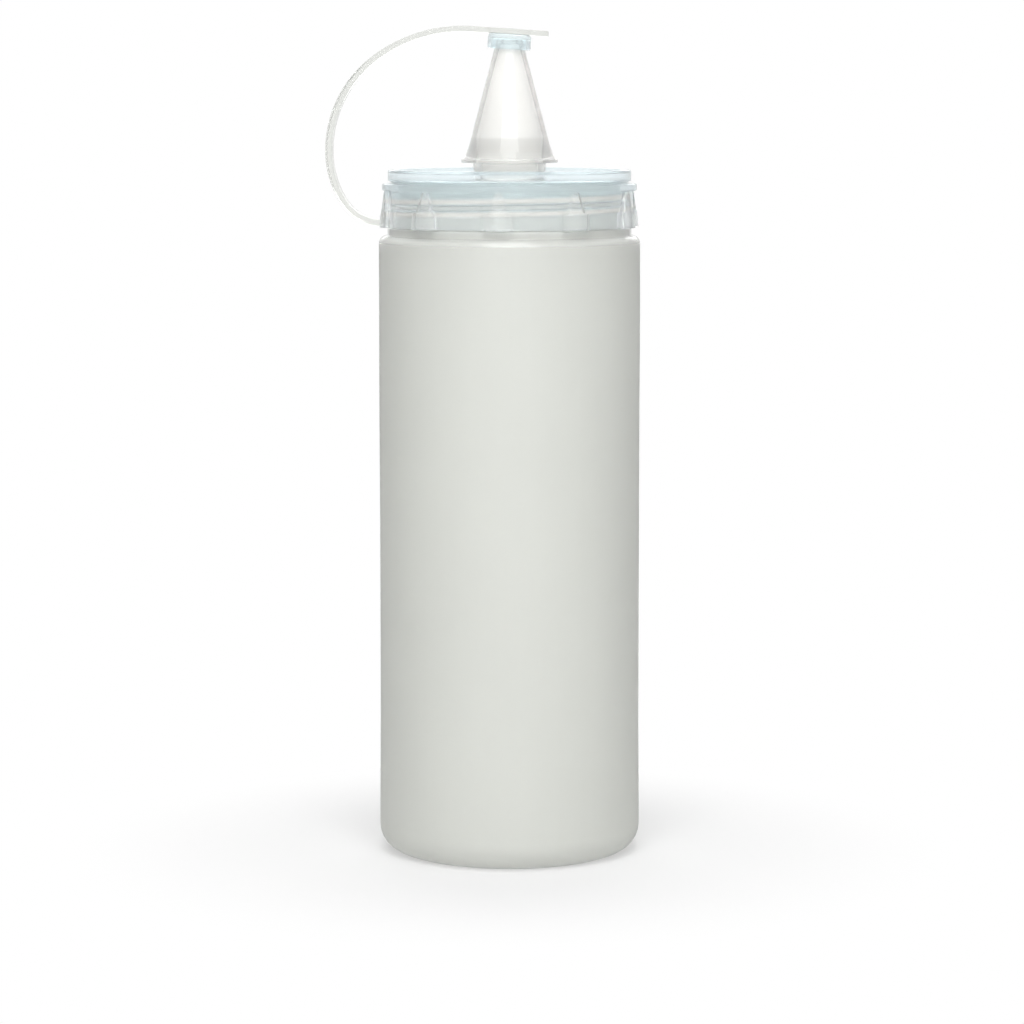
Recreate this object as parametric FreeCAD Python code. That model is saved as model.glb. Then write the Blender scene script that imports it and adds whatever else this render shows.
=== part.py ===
import FreeCAD, Part
import math
import os

# Squeeze bottle for oil: a hollow bottle, a screw cap with its tethered tip plug, and a push-on nozzle.
# Millimetres, Z up. The origin is the middle of the base, on the bottle's axis; the front is -Y.

# Bottle body
bottle_radius = 31.5
shoulder_height = 150.0
body_wall = 1.1
shoulder_fillet = 2.0
heel_bulge = 0.2
heel_fillet = 6.2
heel_taper_height = 26.0
base_wall = 1.3
push_up_height = 1.6
push_up_top_radius = 19.0
push_up_run = 3.5

# Neck and its thread
neck_inset = 4.7
neck_wall = 1.5
bead_height = 1.8
thread_pitch = 3.05
thread_turns = 2.0
thread_depth = 1.0
thread_root = 1.5
thread_crest = 0.7
thread_start = 1.7
thread_sink = 0.3

# Cap skirt, flange, rim and disc
thread_clearance = 0.3
skirt_gap = 0.2
skirt_wall = 1.3
seal_band_height = 2.75
disc_thickness = 1.5
rim_height = 0.8
rim_width = 1.5
rim_inset = 0.1
groove_depth = 0.8
groove_height = 0.6
flange_height = 1.7
flange_reach = 1.3
flange_drop = 1.0
cap_turn = -5.0

# Grip lugs round the skirt
lug_count = 10
lug_reach = 2.3
lug_draft = 0.35
lug_width = 6.6
lug_block_height = 3.9
lug_point_width = 4.4
lug_point_tip_width = 1.4
lug_point_draft = 0.4

# Boss on the disc: a collar that the nozzle sits on, and a spigot that it clicks over
collar_radius = 8.7
collar_height = 2.4
spigot_inset = 0.7
spigot_wall = 1.2
spigot_height = 4.0
snap_bead_reach = 0.2
snap_bead_height = 1.0
snap_bead_drop = 1.3

# Nozzle
socket_clearance = 0.1
nozzle_length = 29.4
nozzle_wall = 1.15
flare_reach = 3.5
flare_edge = 0.7
flare_height = 4.6
cone_base_wall = 1.3
cone_half_angle = 14.7
orifice_radius = 1.5
tip_wall = 1.2
tip_round = 0.4

# Tip plug, finger tab and tether
plug_wall = 0.95
plug_height = 3.45
plug_roof = 0.75
plug_tilt = 3.8
tip_clearance = 0.4
plug_clearance = 0.55
plate_overhang = 0.4
tether_thickness = 1.5
tether_width = 4.6
tab_reach = 9.3
tab_width = 5.2
tether_stub = 9.0
tether_reach = 14.3
tether_widest_height = 18.0
tether_root_lift = 0.1

# Radii and heights that follow from the sizes above
heel_radius = bottle_radius + heel_bulge
neck_radius = bottle_radius - neck_inset
thread_radius = neck_radius + thread_depth
skirt_bore = thread_radius + thread_clearance
skirt_radius = skirt_bore + skirt_wall
bead_top = shoulder_height + bead_height
thread_bottom = bead_top + thread_start
skirt_bottom = bead_top + skirt_gap
seal_bottom = thread_bottom + thread_pitch * thread_turns + thread_root / 2 + thread_clearance
neck_top = seal_bottom + seal_band_height
disc_top = neck_top + disc_thickness
rim_top = disc_top + rim_height
flange_top = neck_top - flange_drop
flange_bottom = flange_top - flange_height
spigot_radius = collar_radius - spigot_inset
boss_bore = spigot_radius - spigot_wall
nozzle_bottom = disc_top + collar_height
spigot_top = nozzle_bottom + spigot_height
socket_radius = spigot_radius + socket_clearance
nozzle_top = nozzle_bottom + nozzle_length
cone_bottom = nozzle_bottom + flare_edge + flare_height
cone_base_radius = socket_radius + cone_base_wall
cone_lean = math.radians(cone_half_angle)
plate_bottom = nozzle_top + tip_clearance + plug_roof
plug_bottom = plate_bottom - plug_height

ORIGIN = FreeCAD.Vector(0, 0, 0)
UP = FreeCAD.Vector(0, 0, 1)


def closed_wire(corners):
    return Part.makePolygon(corners + corners[:1])


def upright(outline):
    """Corners in the XZ plane from (x or radius, height) pairs."""
    return [FreeCAD.Vector(x, 0, z) for x, z in outline]


def turned(outline):
    """Solid of revolution about Z from a closed outline of (radius, height) corners."""
    return Part.Face(closed_wire(upright(outline))).revolve(ORIGIN, UP, 360)


def rounded(solid, radius, height, fillet):
    """Solid with a fillet on its circular edge of that radius and height about Z."""
    def is_ring(curve):
        return (isinstance(curve, Part.Circle) and abs(curve.Radius - radius) < 1e-4
                and abs(curve.Center.z - height) < 1e-4)
    return solid.makeFillet(fillet, [edge for edge in solid.Edges if is_ring(edge.Curve)])


def turn_about_axis(shape, degrees):
    shape.rotate(ORIGIN, UP, degrees)
    return shape


def helical_rib(wall_radius, crest_radius, bottom, turns):
    """Thread rib on a right-hand helix, a trapezoid from the wall to the crest, its root sunk in the wall."""
    sink = math.copysign(thread_sink, wall_radius - crest_radius)
    root_half = (thread_root + (thread_root - thread_crest) * thread_sink / thread_depth) / 2
    crest_half = thread_crest / 2
    section = upright([(wall_radius + sink, -root_half), (crest_radius, -crest_half),
                       (crest_radius, crest_half), (wall_radius + sink, root_half)])
    helix = Part.Wire(Part.makeHelix(thread_pitch, thread_pitch * turns, wall_radius))
    rib = helix.makePipeShell([closed_wire(section)], True, True)
    rib.translate(UP * bottom)
    return rib


# Bottle

def bottle_outside():
    solid = turned([
        (0, 0), (heel_radius, 0), (heel_radius, heel_fillet),
        (bottle_radius, heel_fillet + heel_taper_height), (bottle_radius, shoulder_height),
        (skirt_radius, shoulder_height), (skirt_radius, bead_top), (neck_radius, bead_top),
        (neck_radius, neck_top), (0, neck_top),
    ])
    solid = rounded(solid, heel_radius, 0, heel_fillet)
    shoulder_width = bottle_radius - skirt_radius
    return rounded(solid, bottle_radius, shoulder_height, min(shoulder_fillet, 0.96 * shoulder_width))


def bottle_inside():
    """Room inside the bottle, one wall in from the outside and open at the mouth."""
    mouth_radius = neck_radius - neck_wall
    inner_body = bottle_radius - body_wall
    inner_heel = heel_radius - body_wall
    inner_bead = skirt_radius - body_wall
    ceiling = shoulder_height - body_wall
    inner_bead_top = bead_top - body_wall
    beyond_mouth = neck_top + neck_wall
    solid = turned([
        (0, base_wall), (inner_heel, base_wall), (inner_heel, heel_fillet),
        (inner_body, heel_fillet + heel_taper_height), (inner_body, ceiling),
        (inner_bead, ceiling), (inner_bead, inner_bead_top), (mouth_radius, inner_bead_top),
        (mouth_radius, beyond_mouth), (0, beyond_mouth),
    ])
    return rounded(solid, inner_heel, base_wall, heel_fillet - body_wall)


def push_up(lift):
    """Shallow recess under the base, raised by lift to give the floor above it."""
    foot_radius = push_up_top_radius + push_up_run
    below = lift - base_wall
    return turned([(0, below), (foot_radius, below), (foot_radius, lift),
                   (push_up_top_radius, lift + push_up_height), (0, lift + push_up_height)])


def bottle():
    room = bottle_inside().cut(push_up(base_wall))
    shell = bottle_outside().cut(room).cut(push_up(0))
    return shell.fuse(helical_rib(neck_radius, thread_radius, thread_bottom, thread_turns))


# Cap

def skirt():
    """Ring that screws on the neck, with its flange and groove, under the disc and its raised rim."""
    seal_radius = neck_radius + thread_clearance
    groove_radius = skirt_radius - groove_depth
    groove_top = flange_top + groove_height
    flange_radius = skirt_radius + flange_reach
    rim_radius = skirt_radius - rim_inset
    return turned([
        (skirt_bore, skirt_bottom), (skirt_radius, skirt_bottom), (skirt_radius, flange_bottom),
        (flange_radius, flange_bottom), (flange_radius, flange_top), (groove_radius, flange_top),
        (groove_radius, groove_top), (rim_radius, groove_top), (rim_radius, rim_top),
        (rim_radius - rim_width, rim_top), (rim_radius - rim_width, disc_top), (boss_bore, disc_top),
        (boss_bore, neck_top), (seal_radius, neck_top), (seal_radius, seal_bottom), (skirt_bore, seal_bottom),
    ])


def skirt_thread():
    """Rib inside the skirt, midway between the turns of the neck's thread however far the cap has turned."""
    lead_in = thread_pitch * (0.5 + cap_turn / 360)
    return helical_rib(skirt_bore, neck_radius + thread_clearance, thread_bottom + lead_in, thread_turns - 0.5)


def lug():
    """Grip lug on the +X side: a drafted block, and above it a point that narrows up to the flange."""
    root = skirt_radius - skirt_wall / 2
    foot = skirt_radius + lug_reach
    shelf = foot - lug_draft
    block_top = skirt_bottom + lug_block_height
    side = upright([(root, skirt_bottom), (foot, skirt_bottom), (shelf, block_top), (root, block_top)])
    block = Part.Face(closed_wire(side)).extrude(FreeCAD.Vector(0, lug_width, 0))
    block.translate(FreeCAD.Vector(0, -lug_width / 2, 0))

    def level(width, outer, height):
        half = width / 2
        return closed_wire([FreeCAD.Vector(x, y, height) for x, y in
                            ((root, -half), (outer, -half), (outer, half), (root, half))])
    point = Part.makeLoft([level(lug_point_width, shelf, block_top),
                           level(lug_point_tip_width, shelf - lug_point_draft, flange_bottom)], True, True)
    return block.fuse(point)


def lugs():
    """All the lugs, spaced so that the tether at -X comes out midway between two of them."""
    return [turn_about_axis(lug(), 180 + (index + 0.5) * 360 / lug_count) for index in range(lug_count)]


def snap_ring(grow):
    """Pointed ring round the spigot: the bead, or its groove in the nozzle when grown."""
    wall = spigot_radius - spigot_wall / 2
    middle = spigot_top - snap_bead_drop
    half = snap_bead_height / 2 + grow
    return turned([(wall, middle - half), (spigot_radius + grow, middle - half),
                   (spigot_radius + grow + snap_bead_reach, middle),
                   (spigot_radius + grow, middle + half), (wall, middle + half)])


def boss():
    tube = turned([(boss_bore, neck_top), (collar_radius, neck_top), (collar_radius, nozzle_bottom),
                   (spigot_radius, nozzle_bottom), (spigot_radius, spigot_top), (boss_bore, spigot_top)])
    return tube.fuse(snap_ring(0))


def plug():
    """Cup over the nozzle's tip, under a round plate with its finger tab and the start of the tether."""
    cavity_radius = cone_radius(plug_bottom) + plug_clearance
    plug_radius = cavity_radius + plug_wall
    half_tab = tab_width / 2
    tab_run = tab_reach - half_tab

    def disc(radius, height, bottom, x=0):
        return Part.makeCylinder(radius, height, FreeCAD.Vector(x, 0, bottom))

    def strip(start, end, width):
        return Part.makeBox(end - start, width, tether_thickness, FreeCAD.Vector(start, -width / 2, plate_bottom))
    cup = disc(plug_radius, plug_height, plug_bottom)
    plate = disc(plug_radius + plate_overhang, tether_thickness, plate_bottom)
    tab_end = disc(half_tab, tether_thickness, plate_bottom, tab_run)
    shape = cup.fuse([plate, tab_end, strip(0, tab_run, tab_width), strip(-tether_stub, 0, tether_width)])
    shape = shape.cut(disc(cavity_radius, plug_height - plug_roof, plug_bottom))
    shape.rotate(UP * nozzle_top, FreeCAD.Vector(0, 1, 0), plug_tilt)
    return shape


# A station is a point on a path in the XZ plane and the heading there: ((x, z), radians from +X towards +Z).

def arc_end(start, end):
    """Station at the end of the arc that leaves the start station and arrives at the end point."""
    (x, z), heading = start
    chord_heading = math.atan2(end[1] - z, end[0] - x)
    return end, heading + 2 * math.remainder(chord_heading - heading, 2 * math.pi)


def arc_middle(start, end):
    """Station halfway along the arc between two stations."""
    (x, z), heading = start
    (end_x, end_z), end_heading = end
    bow = math.tan((end_heading - heading) / 4) / 2
    middle = ((x + end_x) / 2 + bow * (end_z - z), (z + end_z) / 2 - bow * (end_x - x))
    return middle, (heading + end_heading) / 2


def beside(station, offset):
    """Point to the left of a station by the offset."""
    (x, z), heading = station
    return FreeCAD.Vector(x - offset * math.sin(heading), 0, z + offset * math.cos(heading))


def arc_edge(start, end, offset=0):
    return Part.Arc(*(beside(station, offset) for station in (start, arc_middle(start, end), end))).toShape()


def biarc(start, end):
    """Stations of two arcs that meet smoothly between two stations, with tangents of equal length."""
    (x, z), heading = start
    (end_x, end_z), end_heading = end
    step = (end_x - x, end_z - z)
    leave = (math.cos(heading), math.sin(heading))
    arrive = (math.cos(end_heading), math.sin(end_heading))
    along = sum(s * (a + b) for s, a, b in zip(step, leave, arrive))
    spread = 2 * (1 - sum(a * b for a, b in zip(leave, arrive)))
    tangent = (math.sqrt(along ** 2 + spread * sum(s * s for s in step)) - along) / spread
    meet = tuple((p + q + tangent * (a - b)) / 2
                 for p, q, a, b in zip((x, z), (end_x, end_z), leave, arrive))
    return [start, arc_end(start, meet), end]


def tether():
    """Flat strap that loops from the plug's plate out past the skirt and back in under its lowest edge."""
    lean = math.radians(plug_tilt)
    rise = plate_bottom + tether_thickness / 2 - nozzle_top
    start = ((rise * math.sin(lean) - tether_stub * math.cos(lean),
              nozzle_top + rise * math.cos(lean) + tether_stub * math.sin(lean)), math.pi - lean)
    widest = ((-skirt_radius - tether_reach, skirt_bottom + tether_widest_height), 1.5 * math.pi)
    root_height = skirt_bottom + tether_root_lift + tether_thickness / 2
    root = ((-skirt_radius - skirt_wall, root_height), 2 * math.pi)
    sunk = ((-skirt_radius + skirt_wall / 2, root_height), 2 * math.pi)
    stations = biarc(start, widest) + biarc(widest, root)[1:]
    half = tether_thickness / 2
    edges = [Part.makeLine(beside(station, half), beside(station, -half)) for station in (start, sunk)]
    for offset in (half, -half):
        edges += [arc_edge(one, other, offset) for one, other in zip(stations, stations[1:])]
        edges.append(Part.makeLine(beside(root, offset), beside(sunk, offset)))
    strap = Part.Face(Part.Wire(Part.__sortEdges__(edges))).extrude(FreeCAD.Vector(0, tether_width, 0))
    strap.translate(FreeCAD.Vector(0, -tether_width / 2, 0))
    return strap


def cap():
    whole = skirt().fuse(lugs() + [skirt_thread(), boss(), plug(), tether()])
    return turn_about_axis(whole, cap_turn)


# Nozzle

def cone_radius(height):
    """Outer radius of the nozzle's cone at a height."""
    return cone_base_radius - (height - cone_bottom) * math.tan(cone_lean)


def nozzle_outside():
    """Straight cone that flares out in one arc to a thin edge."""
    flare_top = ((cone_base_radius, cone_bottom), cone_lean - math.pi / 2)
    flare_end = arc_end(flare_top, (socket_radius + flare_reach, nozzle_bottom + flare_edge))
    rest = upright([flare_end[0], (flare_end[0][0], nozzle_bottom), (0, nozzle_bottom), (0, nozzle_top),
                    (cone_radius(nozzle_top), nozzle_top), flare_top[0]])
    outline = Part.Wire([arc_edge(flare_top, flare_end), *Part.makePolygon(rest).Edges])
    solid = Part.Face(outline).revolve(ORIGIN, UP, 360)
    return rounded(solid, cone_radius(nozzle_top), nozzle_top, tip_round)


def nozzle_inside():
    """Bore of the nozzle: the socket for the spigot, the cone and the drop hole in the tip."""
    chamber_top = nozzle_top - tip_wall
    narrowing = cone_bottom + (cone_base_wall - nozzle_wall) / math.tan(cone_lean)
    return turned([
        (0, nozzle_bottom), (socket_radius, nozzle_bottom), (socket_radius, narrowing),
        (cone_radius(chamber_top) - nozzle_wall, chamber_top), (orifice_radius, chamber_top),
        (orifice_radius, nozzle_top), (0, nozzle_top),
    ])


def nozzle():
    return nozzle_outside().cut(nozzle_inside()).cut(snap_ring(socket_clearance))


os.makedirs("parts", exist_ok=True)
for name, make in (("bottle", bottle), ("cap", cap), ("nozzle", nozzle)):
    make().exportStep(f"parts/{name}.step")
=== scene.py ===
"""Kitchen squeeze bottle: frosted bottle, screw cap with grip lugs, pouring nozzle and tethered tip plug.

Laid out as a Blender add-on and run as a script. Lengths are in metres. The frame's Z axis is the bottle's
axis, the bottle stands on Z = 0, and its front faces -Y.
"""

import math

import bmesh
import bpy
import numpy as np
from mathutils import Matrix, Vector


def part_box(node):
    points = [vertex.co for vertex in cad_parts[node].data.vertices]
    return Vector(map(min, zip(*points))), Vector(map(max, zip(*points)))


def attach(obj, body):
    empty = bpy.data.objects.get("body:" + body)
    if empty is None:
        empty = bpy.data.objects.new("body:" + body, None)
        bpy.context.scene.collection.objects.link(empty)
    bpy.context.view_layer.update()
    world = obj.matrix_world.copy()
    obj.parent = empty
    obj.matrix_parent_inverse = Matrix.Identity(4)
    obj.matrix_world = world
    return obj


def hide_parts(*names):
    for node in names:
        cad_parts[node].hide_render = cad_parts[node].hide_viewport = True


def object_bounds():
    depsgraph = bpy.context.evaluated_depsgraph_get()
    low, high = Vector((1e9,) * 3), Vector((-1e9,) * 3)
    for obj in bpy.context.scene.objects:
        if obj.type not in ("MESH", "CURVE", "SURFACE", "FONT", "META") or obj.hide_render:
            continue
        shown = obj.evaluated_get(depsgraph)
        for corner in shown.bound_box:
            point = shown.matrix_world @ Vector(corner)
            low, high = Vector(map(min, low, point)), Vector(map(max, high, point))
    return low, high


bl_info = {
    "name": "Kitchen Squeeze Bottle",
    "version": (1, 0, 0),
    "blender": (4, 5, 0),
    "location": "3D View > Sidebar > Squeeze Bottle",
    "description": "Builds a frosted squeeze bottle with its screw cap, pouring nozzle and tethered tip plug",
    "category": "Add Mesh",
}

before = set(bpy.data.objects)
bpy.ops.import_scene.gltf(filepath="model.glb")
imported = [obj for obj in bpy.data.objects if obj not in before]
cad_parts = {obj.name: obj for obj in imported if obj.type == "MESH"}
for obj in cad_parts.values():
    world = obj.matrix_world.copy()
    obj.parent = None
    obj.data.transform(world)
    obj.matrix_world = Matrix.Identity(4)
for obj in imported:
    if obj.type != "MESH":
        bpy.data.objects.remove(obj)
cad_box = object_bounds()
bottle_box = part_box("bottle")
cap_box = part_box("cap")
nozzle_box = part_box("nozzle")

MM = 0.001
BODY = "root"
ARC_POINTS = 8
WELD_DISTANCE = 0.001 * MM


# Settings

def length(label, note, millimetres):
    """A setting in metres, given here in millimetres."""
    return bpy.props.FloatProperty(name=label, description=note, default=millimetres * MM, min=0.0,
                                   subtype="DISTANCE", unit="LENGTH", precision=5)


def tint(label, note, colour):
    return bpy.props.FloatVectorProperty(name=label, description=note, default=colour, size=3,
                                         min=0.0, max=1.0, subtype="COLOR")


def share(label, note, value):
    return bpy.props.FloatProperty(name=label, description=note, default=value, min=0.0, max=1.0,
                                   subtype="FACTOR")


def clarity(label, value):
    return share(f"{label} clarity", f"Share of light that passes the {label.lower()} unscattered", value)


def degrees(label, note, value):
    return bpy.props.FloatProperty(name=label, description=note, default=math.radians(value),
                                   subtype="ANGLE", unit="ROTATION")


def group(kind):
    return bpy.props.PointerProperty(type=kind)


def watts(label, note, value):
    return bpy.props.FloatProperty(name=label, description=note, default=value, min=0.0, unit="POWER")


class BottleSizes(bpy.types.PropertyGroup):
    """Sizes of the blow-moulded bottle"""
    heel_radius: length("Heel radius", "Radius where the bottle is widest, just above its base",
                        bottle_box[1].x / MM)
    mouth_height: length("Mouth height", "Height of the top of the neck", bottle_box[1].z / MM)
    shoulder_height: length("Shoulder height", "Height of the step in from the body to the bead", 150.0)
    heel_bulge: length("Heel bulge", "How much wider the heel is than the body", 0.2)
    heel_fillet: length("Heel fillet", "Radius of the round between the wall and the base", 6.2)
    heel_taper: length("Heel taper", "Height from the heel's round to the straight body", 26.0)
    body_wall: length("Body wall", "Thickness of the wall", 1.1)
    base_wall: length("Base wall", "Thickness of the base", 1.3)
    push_up_height: length("Push-up height", "Rise of the recess under the base", 1.6)
    push_up_radius: length("Push-up radius", "Radius of the recess's flat top", 19.0)
    push_up_run: length("Push-up run", "Width of the slope round the recess", 3.5)
    bead_height: length("Bead height", "Height of the bead under the cap", 1.8)
    neck_inset: length("Neck inset", "How much smaller the neck's radius is than the body's", 4.7)
    neck_wall: length("Neck wall", "Thickness of the neck", 1.5)
    wall_ripple: length("Wall ripple", "Unevenness that blowing leaves in the wall", 0.05)


class ThreadSizes(bpy.types.PropertyGroup):
    """Sizes of the screw thread on the neck and in the cap"""
    pitch: length("Pitch", "Rise in one turn", 3.05)
    depth: length("Depth", "Height of the rib", 1.0)
    root: length("Root width", "Width of the rib at the wall", 1.5)
    crest: length("Crest width", "Width of the rib at its top", 0.7)
    start: length("Start", "Height of the rib's start above the bead", 1.7)
    clearance: length("Clearance", "Gap between the cap and the thread", 0.3)
    turns: bpy.props.FloatProperty(name="Turns", description="Turns of the rib on the neck",
                                   default=2.0, min=1.0)


class CapSizes(bpy.types.PropertyGroup):
    """Sizes of the screw cap"""
    skirt_bottom: length("Skirt bottom", "Height of the cap's lowest edge", cap_box[0].z / MM)
    collar_top: length("Collar top", "Height of the collar that the nozzle sits on", nozzle_box[0].z / MM)
    skirt_wall: length("Skirt wall", "Thickness of the skirt", 1.3)
    seal_band: length("Seal band", "Height of the band that grips the neck's top", 2.75)
    disc_thickness: length("Disc thickness", "Thickness of the cap's top", 1.5)
    rim_height: length("Rim height", "Height of the rim round the cap's top", 0.8)
    rim_width: length("Rim width", "Width of that rim", 1.5)
    rim_inset: length("Rim inset", "How far the rim stands in from the skirt", 0.1)
    groove_depth: length("Groove depth", "Depth of the groove above the flange", 0.8)
    groove_height: length("Groove height", "Height of that groove", 0.6)
    flange_height: length("Flange height", "Height of the flange", 1.7)
    flange_reach: length("Flange reach", "How far the flange stands out from the skirt", 1.3)
    flange_drop: length("Flange drop", "Height of the neck's top over the flange", 1.0)
    collar_radius: length("Collar radius", "Radius of the collar under the nozzle", 8.7)
    spigot_radius: length("Spigot radius", "Radius of the tube inside the nozzle", 8.0)
    spigot_wall: length("Spigot wall", "Thickness of that tube", 1.2)
    spigot_height: length("Spigot height", "Height of that tube above the collar", 4.0)
    turn: degrees("Turn", "How far the cap is turned about the bottle's axis", -5.0)


class LugSizes(bpy.types.PropertyGroup):
    """Sizes of the grip lugs round the cap"""
    count: bpy.props.IntProperty(name="Count", description="How many lugs go round the cap",
                                 default=10, min=3)
    reach: length("Reach", "How far a lug's foot stands out from the skirt", 2.3)
    draft: length("Draft", "How much less its block stands out at the top", 0.35)
    width: length("Width", "Width of the block", 6.6)
    block_height: length("Block height", "Height of the block", 3.9)
    point_width: length("Point width", "Width of the point where it leaves the block", 4.4)
    tip_width: length("Tip width", "Width of the point where it meets the flange", 1.4)
    point_draft: length("Point draft", "How much less the point stands out at its tip", 0.4)


class NozzleSizes(bpy.types.PropertyGroup):
    """Sizes of the pouring nozzle"""
    bottom: length("Bottom", "Height of the nozzle's lowest edge", nozzle_box[0].z / MM)
    top: length("Top", "Height of the nozzle's tip", nozzle_box[1].z / MM)
    flare_radius: length("Flare radius", "Radius of the flared edge", nozzle_box[1].x / MM)
    flare_edge: length("Flare edge", "Thickness of the flared edge", 0.7)
    flare_height: length("Flare height", "Height of the curve from the edge to the cone", 4.6)
    cone_base_radius: length("Cone base radius", "Radius at the foot of the cone", 9.4)
    cone_angle: degrees("Cone angle", "Lean of the cone's side", 14.7)
    wall: length("Wall", "Thickness of the cone", 1.15)
    socket_radius: length("Socket radius", "Radius of the room for the cap's spigot", 8.1)
    orifice_radius: length("Orifice radius", "Radius of the hole in the tip", 1.5)
    tip_wall: length("Tip wall", "Thickness of the tip round the hole", 1.2)


class StrapSizes(bpy.types.PropertyGroup):
    """Sizes of the tip plug and of the strap that holds it to the cap"""
    thickness: length("Thickness", "Thickness of the strap", 1.5)
    width: length("Width", "Width of the strap", 4.6)
    tab_width: length("Tab width", "Width of the finger tab", 5.2)
    tab_reach: length("Tab reach", "Reach of the finger tab from the plug's axis", 9.3)
    stub: length("Stub", "Straight start of the strap, from the plug's axis", 9.0)
    reach: length("Reach", "How far the strap loops out from the skirt", 14.3)
    widest_height: length("Widest height", "Height of the widest place above the skirt's edge", 18.0)
    root_lift: length("Root lift", "Height of the strap's root above the skirt's edge", 0.1)
    tilt: degrees("Tilt", "Lean of the plug on the nozzle's tip", 3.8)
    plug_height: length("Plug height", "Height of the plug", 3.45)
    plug_wall: length("Plug wall", "Thickness of the plug's side", 0.95)
    plug_roof: length("Plug roof", "Thickness of the plug under the strap", 0.75)
    plug_clearance: length("Plug clearance", "Gap between the plug and the nozzle's side", 0.55)
    tip_clearance: length("Tip clearance", "Gap between the plug and the nozzle's tip", 0.4)
    overhang: length("Overhang", "How far the plug's round plate stands out from it", 0.4)


class Finishes(bpy.types.PropertyGroup):
    """Colours and clarity of the plastics, and the light"""
    bottle_tint: tint("Bottle tint", "Colour of the bottle's frosted plastic", (0.875, 0.885, 0.85))
    cap_tint: tint("Cap tint", "Colour of the cap's plastic where it is thin", (0.89, 0.965, 0.99))
    # Also the colour of the painted highlight lines along the threads.
    milky_and_highlight_tint: tint("Milky tint", "Colour of the bottle and cap where they are thick", (1.0, 0.99, 0.97))
    strap_tint: tint("Strap tint", "Colour of the strap", (0.81, 0.82, 0.79))
    nozzle_tint: tint("Nozzle tint", "Colour of the nozzle's plastic", (1.0, 0.995, 0.98))
    bottle_clarity: clarity("Bottle", 0.55)
    cap_clarity: clarity("Cap", 0.8)
    strap_clarity: clarity("Strap", 0.9)
    nozzle_clarity: clarity("Nozzle", 0.8)
    bottle_roughness: share("Bottle roughness", "Frosting of the bottle", 0.55)
    neck_roughness: share("Neck roughness", "Frosting of the bottle's shoulder and neck", 0.12)
    cap_roughness: share("Cap roughness", "Frosting of the cap", 0.18)
    strap_roughness: share("Strap roughness", "Frosting of the strap", 0.2)
    nozzle_roughness: share("Nozzle roughness", "Frosting of the nozzle's inside", 0.6)
    nozzle_polish: share("Nozzle polish", "Frosting of the nozzle's outside", 0.1)
    front_light: watts("Front light", "Power of the front softbox", 20.0)
    back_light: watts("Back light", "Power of the softbox behind", 8.0)
    top_light: watts("Top light", "Power of the overhead softbox", 5.0)
    room_light: share("Room light", "Level of the even light from all round", 0.2)


class SqueezeBottle(bpy.types.PropertyGroup):
    """All the settings of the squeeze bottle"""
    bottle: group(BottleSizes)
    thread: group(ThreadSizes)
    cap: group(CapSizes)
    lug: group(LugSizes)
    nozzle: group(NozzleSizes)
    strap: group(StrapSizes)
    finish: group(Finishes)


# Surfaces

def unit(vectors):
    """Vectors divided by their lengths."""
    return vectors / np.linalg.norm(vectors, axis=-1, keepdims=True)


def rounded_outline(corners, closed):
    """Outline of straight runs joined by tangent arcs, as (radius, height) points.

    Each corner is (radius, height, fillet, step), the step being the spacing along the run after it. An arc
    starts and ends fillet / tan(half the corner's angle) from the corner, and turns about a centre that is
    fillet / sin(half the angle) from it, on the line that halves it. An open outline keeps its ends sharp."""
    corners = np.array(corners, float)
    spots, fillets = corners[:, :2], corners[:, 2, None]
    back = unit(np.roll(spots, 1, axis=0) - spots)
    ahead = unit(np.roll(spots, -1, axis=0) - spots)
    half = np.arccos(np.clip((back * ahead).sum(axis=1, keepdims=True), -1, 1)) / 2
    centres = spots + unit(back + ahead) * fillets / np.sin(half)
    start = spots + back * fillets / np.tan(half) - centres
    end = spots + ahead * fillets / np.tan(half) - centres
    sweep = math.pi - 2 * half
    part = np.linspace(0, 1, ARC_POINTS)[:, None, None]
    arcs = centres + (np.sin((1 - part) * sweep) * start + np.sin(part * sweep) * end) / np.sin(sweep)
    arcs = [arcs[:, index] for index in range(len(corners))]
    if not closed:
        arcs[0], arcs[-1] = spots[:1], spots[-1:]
    pieces = []
    for index, arc in enumerate(arcs):
        pieces.append(arc)
        if closed or index + 1 < len(arcs):
            following = arcs[(index + 1) % len(arcs)][0]
            count = max(1, round(np.linalg.norm(following - arc[-1]) / corners[index, 3]))
            pieces.append(np.linspace(arc[-1], following, count + 1)[1:-1])
    return np.concatenate(pieces)


def smooth(value):
    """Smooth step: 0 below 0, 1 above 1, and three squares less two cubes between."""
    held = np.clip(value, 0, 1)
    return held * held * (3 - 2 * held)


def helical_rib(thread, heights, angles, bottom, turns):
    """Height of a thread's rib over its wall: a smooth ridge along height = bottom + pitch * turns gone.

    A place's turns gone are its angle over a full turn plus the whole turns nearest to its height. The ridge
    falls from the crest's half width to the root's, and fades in and out over a twentieth of a turn."""
    fade = 0.05
    first = angles / (2 * math.pi)
    whole = np.clip(np.round((heights - bottom) / thread.pitch - first), 0, math.ceil(turns) - 1)
    gone = first + whole
    away = np.abs(heights - bottom - thread.pitch * gone)
    ridge = smooth((thread.root / 2 - away) / ((thread.root - thread.crest) / 2))
    return thread.depth * ridge * smooth(gone / fade) * smooth((turns - gone) / fade)


def turned(radii, heights, angles):
    """Grid of points at radius times the cosine and sine of the angle, at the height."""
    return np.stack(np.broadcast_arrays(radii * np.cos(angles), radii * np.sin(angles), heights), axis=-1)


def even_angles(count):
    return np.linspace(0, 2 * math.pi, count, endpoint=False)[None]


def placed(name, data):
    """New object in the scene."""
    thing = bpy.data.objects.new(name, data)
    bpy.context.scene.collection.objects.link(thing)
    return thing


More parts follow.
